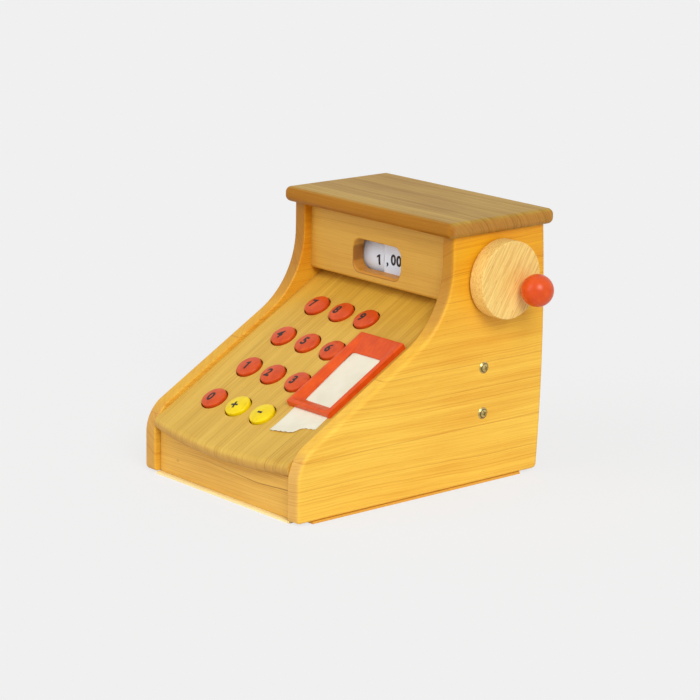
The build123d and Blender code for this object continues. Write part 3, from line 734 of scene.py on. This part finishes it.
def paper_stock(name, colour, deep):
    """Matt paper with faint fibres and a slight waviness."""
    paint = Paint(name)
    place = paint.add("ShaderNodeTexCoord", output=3)
    fibre = paint.noise(place, 1800.0, 4.0, 0.7)
    cloud = paint.noise(place, 60.0, 2.0)
    tone = paint.mix(fibre * 0.3 + cloud.between(0.35, 0.7) * 0.6, colour, deep)
    rough = 0.75 + (fibre - 0.5) * 0.2
    return paint.surface(tone, rough, fibre * 0.3 + cloud, 0.12, specular_ior_level=0.2)


paper = paper_stock("receipt_paper", srgb(242, 237, 216), srgb(230, 225, 202))
dress(paper, "paper_roll")

strip_low, strip_high = (np.array(corner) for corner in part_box("paper_strip"))
strip_width = float(strip_high[0] - strip_low[0])
strip_thickness = 0.00025
strip_level = 0.0003
strip_bend = 0.002
strip_rows = 130
strip_columns = 90
board_foot = np.array((0.0, -0.12, 0.04423))
slot_along = 0.12125
roll_drop = 0.037


def strip_path(distance):
    """Place along the slope, height above the board and normal at a distance from the bend at the slot.

    The path runs down the board for positive distances and straight down towards the roll for negative
    ones, with a quarter circle of the bend's radius between them.
    """
    quarter = strip_bend * np.pi / 2
    angle = np.clip(-distance / strip_bend, 0.0, np.pi / 2)
    down = np.clip(-distance - quarter, 0.0, None)
    along = slot_along - strip_bend - np.clip(distance, 0.0, None) + strip_bend * np.sin(angle)
    above = strip_level - strip_bend + strip_bend * np.cos(angle) - down
    lean = np.stack((np.sin(angle), np.cos(angle)))
    return along, above, lean


def torn_end(across_mm):
    """Where the torn end lies along the slope, in mm.

    It is 24.4 + 0.21 x + 6.2 s(x) and small sines, where s is a smooth step right of the middle.
    """
    step = np.clip((across_mm - 20.0) / 7.0, 0.0, 1.0)
    step = step * step * (3.0 - 2.0 * step)
    tears = 0.35 * np.sin(across_mm * 1.35)
    tears = tears + 0.22 * np.sin(across_mm * 3.1 + 1.0)
    tears = tears + 0.12 * np.sin(across_mm * 7.3)
    return 24.4 + 0.21 * across_mm + 6.2 * step + tears


column = np.linspace(0.0, 1.0, strip_columns)
farthest = slot_along - strip_bend - torn_end(column * strip_width * 1000) / 1000
nearest = -(roll_drop + strip_level)
row = np.linspace(0.0, 1.0, strip_rows)[:, None]
distance = nearest + row * (farthest - nearest)[None, :]
along, above, lean = strip_path(distance)
# The loose end curls up off the board and is drawn a little to the right.
curl = 0.0012 * np.clip((0.045 - along) / 0.02, 0.0, 1.0) ** 2
drawn_aside = np.clip(0.06 - along, 0.0, 0.035) * 0.036
across = strip_low[0] + column[None, :] * strip_width + 0.0005 * (distance > 0) + drawn_aside
layers = []
for half in (0.5, -0.5):
    layer_along = along + half * strip_thickness * lean[0]
    layer_above = above + curl + half * strip_thickness * lean[1]
    layers.append(
        board_foot
        + across[..., None] * board_across
        + layer_along[..., None] * board_upwards
        + layer_above[..., None] * board_normal
    )
spots = np.concatenate([layer.reshape(-1, 3) for layer in layers])
count = strip_rows * strip_columns
index = np.arange(count).reshape(strip_rows, strip_columns)


def quads(first, second, third, fourth):
    """Faces from four equal grids of vertex numbers."""
    return np.stack((first, second, third, fourth), axis=-1).reshape(-1, 4)


upper = quads(index[:-1, :-1], index[1:, :-1], index[1:, 1:], index[:-1, 1:])
lower = quads(index[:-1, :-1], index[:-1, 1:], index[1:, 1:], index[1:, :-1]) + count
rim = np.concatenate((index[0, :-1], index[:-1, -1], index[-1, :0:-1], index[:0:-1, 0]))
rim_next = np.roll(rim, -1)
edge = quads(rim, rim_next, rim_next + count, rim + count)
strip_mesh = bpy.data.meshes.new("receipt_strip")
strip_mesh.from_pydata(spots.tolist(), [], np.concatenate((upper, lower, edge)).tolist())
strip = put(strip_mesh, spots, "receipt_strip", paper, "carcass")
strip_mesh.shade_smooth()
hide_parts("paper_strip")

# ---------------------------------------------------------------- drawer front
# A straight-grained front with one dark resin streak that dips across it and a small knot near its left end.
knot_x_mm = -58.0
knot_z_mm = 15.0


def streak_and_knot(paint, base, parts):
    """A wandering resin streak, darkest towards the right, and a small knot."""
    along, height = parts["x"], parts["z"]
    sway = paint.noise(paint.join(along * 0.02, along * 0.0 + 3.0, 0.0), 1.0, 2.0)
    middle = 22.4 + (sway - 0.5) * 3.0 - (along * 0.045).math("SINE") * 1.4
    band = 1.0 - abs(height - middle).between(0.1, 0.7)
    right = along.between(-40.0, 70.0)
    colour = paint.mix(band * (0.15 + right * 0.6), base, srgb(140, 78, 24))
    aside = along - knot_x_mm
    over = height - knot_z_mm
    from_knot = (aside * aside * 0.4 + over * over) ** 0.5
    return paint.mix((1.0 - from_knot.between(0.4, 1.5)) * 0.35, colour, srgb(150, 88, 30))


drawer_wood = wood(
    "drawer_wood",
    srgb(236, 186, 84),
    srgb(206, 146, 52),
    srgb(160, 98, 30),
    axes="xzy",
    pith=(-180.0, 70.0),
    seed=21,
    ring_mm=2.6,
    waves=4.0,
    slope=-0.03,
    shift=streak_and_knot,
)
dress(drawer_wood, "drawer_front")

# ---------------------------------------------------------------- inner woodwork
# Plain planed softwood without oil: the drawer's walls, the rails and blocks, and the drum and cam.
inner_wood = wood(
    "inner_wood",
    srgb(238, 204, 132),
    srgb(210, 162, 86),
    srgb(168, 112, 50),
    axes="xyz",
    seed=31,
    pith=(130.0, 200.0),
)
dress(
    inner_wood,
    *"""cross_board drawer_stop_rail board_cleats drawer_kickers drawer_side_left drawer_side_right
    drawer_back note_divider coin_dividers roll_hanger striker_block ejector_block number_drum trip_cam
    axle_collar""".split(),
)

# ---------------------------------------------------------------- crank
# A pale lacquered disc of hardwood with its grain leaning to the right, and a red ball on a short peg.
disc_grain = radians(32)


def leaning_grain(paint, base, parts):
    """Straight grain that leans across the disc's face, with a few darker short pores."""
    up, aside = parts["z"], parts["y"]
    along = up * cos(disc_grain) + aside * sin(disc_grain)
    across = aside * cos(disc_grain) - up * sin(disc_grain)
    line = paint.noise(paint.join(along * 0.03, across * 1.1, parts["x"] * 1.1), 1.0, 4.0, 0.7)
    pore = paint.noise(paint.join(along * 0.1, across * 1.3, parts["x"] * 1.3), 1.0, 1.0)
    colour = paint.mix(line.between(0.4, 0.6) * 0.75, base, srgb(228, 174, 88))
    return paint.mix(pore.between(0.66, 0.74) * 0.7, colour, srgb(192, 130, 54))


beech = wood(
    "beech",
    srgb(255, 222, 134),
    srgb(248, 208, 118),
    srgb(224, 170, 90),
    axes="zyx",
    seed=41,
    pith=(400.0, 30.0),
    ring_mm=8.0,
    ring_depth=0.2,
    fine_depth=0.1,
    shift=leaning_grain,
)
dress(beech, "crank_disc", "knob_peg", "crank_axle", "roll_spindle")
ball_lacquer = lacquer(
    "ball_lacquer", srgb(232, 88, 22), srgb(208, 66, 14), gloss=0.3, grain=(150.0, 150.0, 150.0)
)
dress(ball_lacquer, "crank_knob")

# ---------------------------------------------------------------- number drum and price card
# White paper on the drum's rim carries the figures 0 to 9; a fixed card beside it carries the decimals.
drum_paper = paper_stock("drum_paper", srgb(236, 244, 255), srgb(220, 232, 250))
dress(drum_paper, "number_band", "price_card")
price_ink = printing_ink("price_ink", srgb(28, 26, 26))
price_stroke_weight = 0.035
drum_figure_height = 0.0084
drum_figure_width = 1.1
drum_figure_place = -0.0129
drum_turn = radians(-2.8)
drum_step = radians(36)
band_low, band_high = (np.array(corner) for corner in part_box("number_band"))
band_middle = (band_low + band_high) / 2
band_radius = (band_high[2] - band_low[2]) / 2
for digit in range(10):
    mesh, flat = lettering(str(digit), drum_figure_height, price_stroke_weight, ink_thickness)
    angle = drum_turn + drum_step * (digit - 1) + flat[:, 1] / band_radius
    radius = band_radius + ink_thickness + flat[:, 2]
    place = np.column_stack(
        (
            drum_figure_place + drum_figure_width * flat[:, 0],
            band_middle[1] - radius * np.cos(angle),
            band_middle[2] + radius * np.sin(angle),
        )
    )
    put(mesh, place, f"drum_figure_{digit}", price_ink, "crank")

card_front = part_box("price_card")[0][1]
card_marks = {
    # name: (words, height mm, place across mm, height of its middle mm)
    "decimal_comma": (",", 3.4, -1.2, 157.6),
    "decimal_first": ("0", 8.8, 5.6, 162.3),
    "decimal_second": ("0", 8.8, 12.0, 162.3),
}
for name, (words, height_mm, across_mm, middle_mm) in card_marks.items():
    mesh, flat = lettering(words, height_mm / 1000, price_stroke_weight, ink_thickness)
    place = np.column_stack(
        (
            across_mm / 1000 + flat[:, 0],
            card_front - ink_thickness / 2 - flat[:, 2],
            middle_mm / 1000 + flat[:, 1],
        )
    )
    put(mesh, place, name, price_ink, "carcass")

# ---------------------------------------------------------------- metal, nylon and foam
# Yellow-passivated screws, spring steel, a nickel bell, nylon bushes and foam rings.


def metal(name, colour, dark, gloss, scratch=(900.0, 900.0, 900.0), shift=None):
    """Bare metal with fine scratches and a little tarnish."""
    paint = Paint(name)
    place = paint.add("ShaderNodeTexCoord", output=3)
    line_place = paint.add("ShaderNodeVectorMath", {0: place, 1: scratch}, operation="MULTIPLY")
    line = paint.noise(line_place, 1.0, 4.0, 0.7)
    cloud = paint.noise(place, 300.0, 2.0)
    tone = paint.mix(cloud.between(0.35, 0.7) * 0.6 + line * 0.25, colour, dark)
    if shift is not None:
        tone = shift(paint, tone, dict(zip("xyz", paint.split(place))))
    return paint.surface(tone, gloss + (line - 0.5) * 0.25, line, 0.01, metallic=1.0)


def moulded(name, colour, dark, gloss, pit_scale):
    """Matt plastic or foam with a fine cell texture."""
    paint = Paint(name)
    place = paint.add("ShaderNodeTexCoord", output=3)
    cell = paint.noise(place, pit_scale, 3.0, 0.6)
    cloud = paint.noise(place, 120.0, 2.0)
    tone = paint.mix(cell * 0.5 + cloud * 0.4, colour, dark)
    return paint.surface(tone, gloss + (cell - 0.5) * 0.2, cell, 0.1)


screw_y = 0.062
lower_screw_z = 0.056
upper_screw_z = 0.0918
shade_ring_radius = 0.0033


def dirty_ring(paint, base, parts):
    """A thin dark ring of painted shade round each screw's head."""
    aside = parts["y"] - screw_y
    height = abs(parts["z"] - lower_screw_z).math("MINIMUM", abs(parts["z"] - upper_screw_z))
    from_screw = (aside * aside + height * height) ** 0.5
    ring = 1.0 - abs(from_screw - shade_ring_radius).between(0.0002, 0.0007)
    # Painted shade: a dark ring where shade falls round the screw's head.
    return paint.mix(ring * 0.75, base, srgb(70, 54, 26))


screw_metal = metal("screw_metal", srgb(222, 204, 140), srgb(140, 116, 60), 0.3, shift=dirty_ring)
dress(screw_metal, "side_screws")
plated_steel = metal("plated_steel", srgb(226, 212, 170), srgb(150, 128, 84), 0.32)
dress(plated_steel, "latch_screws", "bell_stud", "drawer_catch")
along_the_leaf = (200.0, 2000.0, 2000.0)
spring_steel = metal("spring_steel", srgb(206, 206, 208), srgb(140, 140, 146), 0.3, along_the_leaf)
dress(spring_steel, "ejector_leaf", "latch_leaf", "striker_leaf")
bell_nickel = metal("bell_nickel", srgb(232, 230, 224), srgb(190, 186, 176), 0.14)
dress(bell_nickel, "bell_gong")
nylon = moulded("nylon", srgb(236, 234, 226), srgb(214, 210, 198), 0.45, 900.0)
dress(nylon, "axle_bush_left", "axle_bush_right", "crank_washer")
foam = moulded("foam", srgb(86, 86, 90), srgb(48, 48, 52), 0.9, 1600.0)
dress(foam, "key_pads")
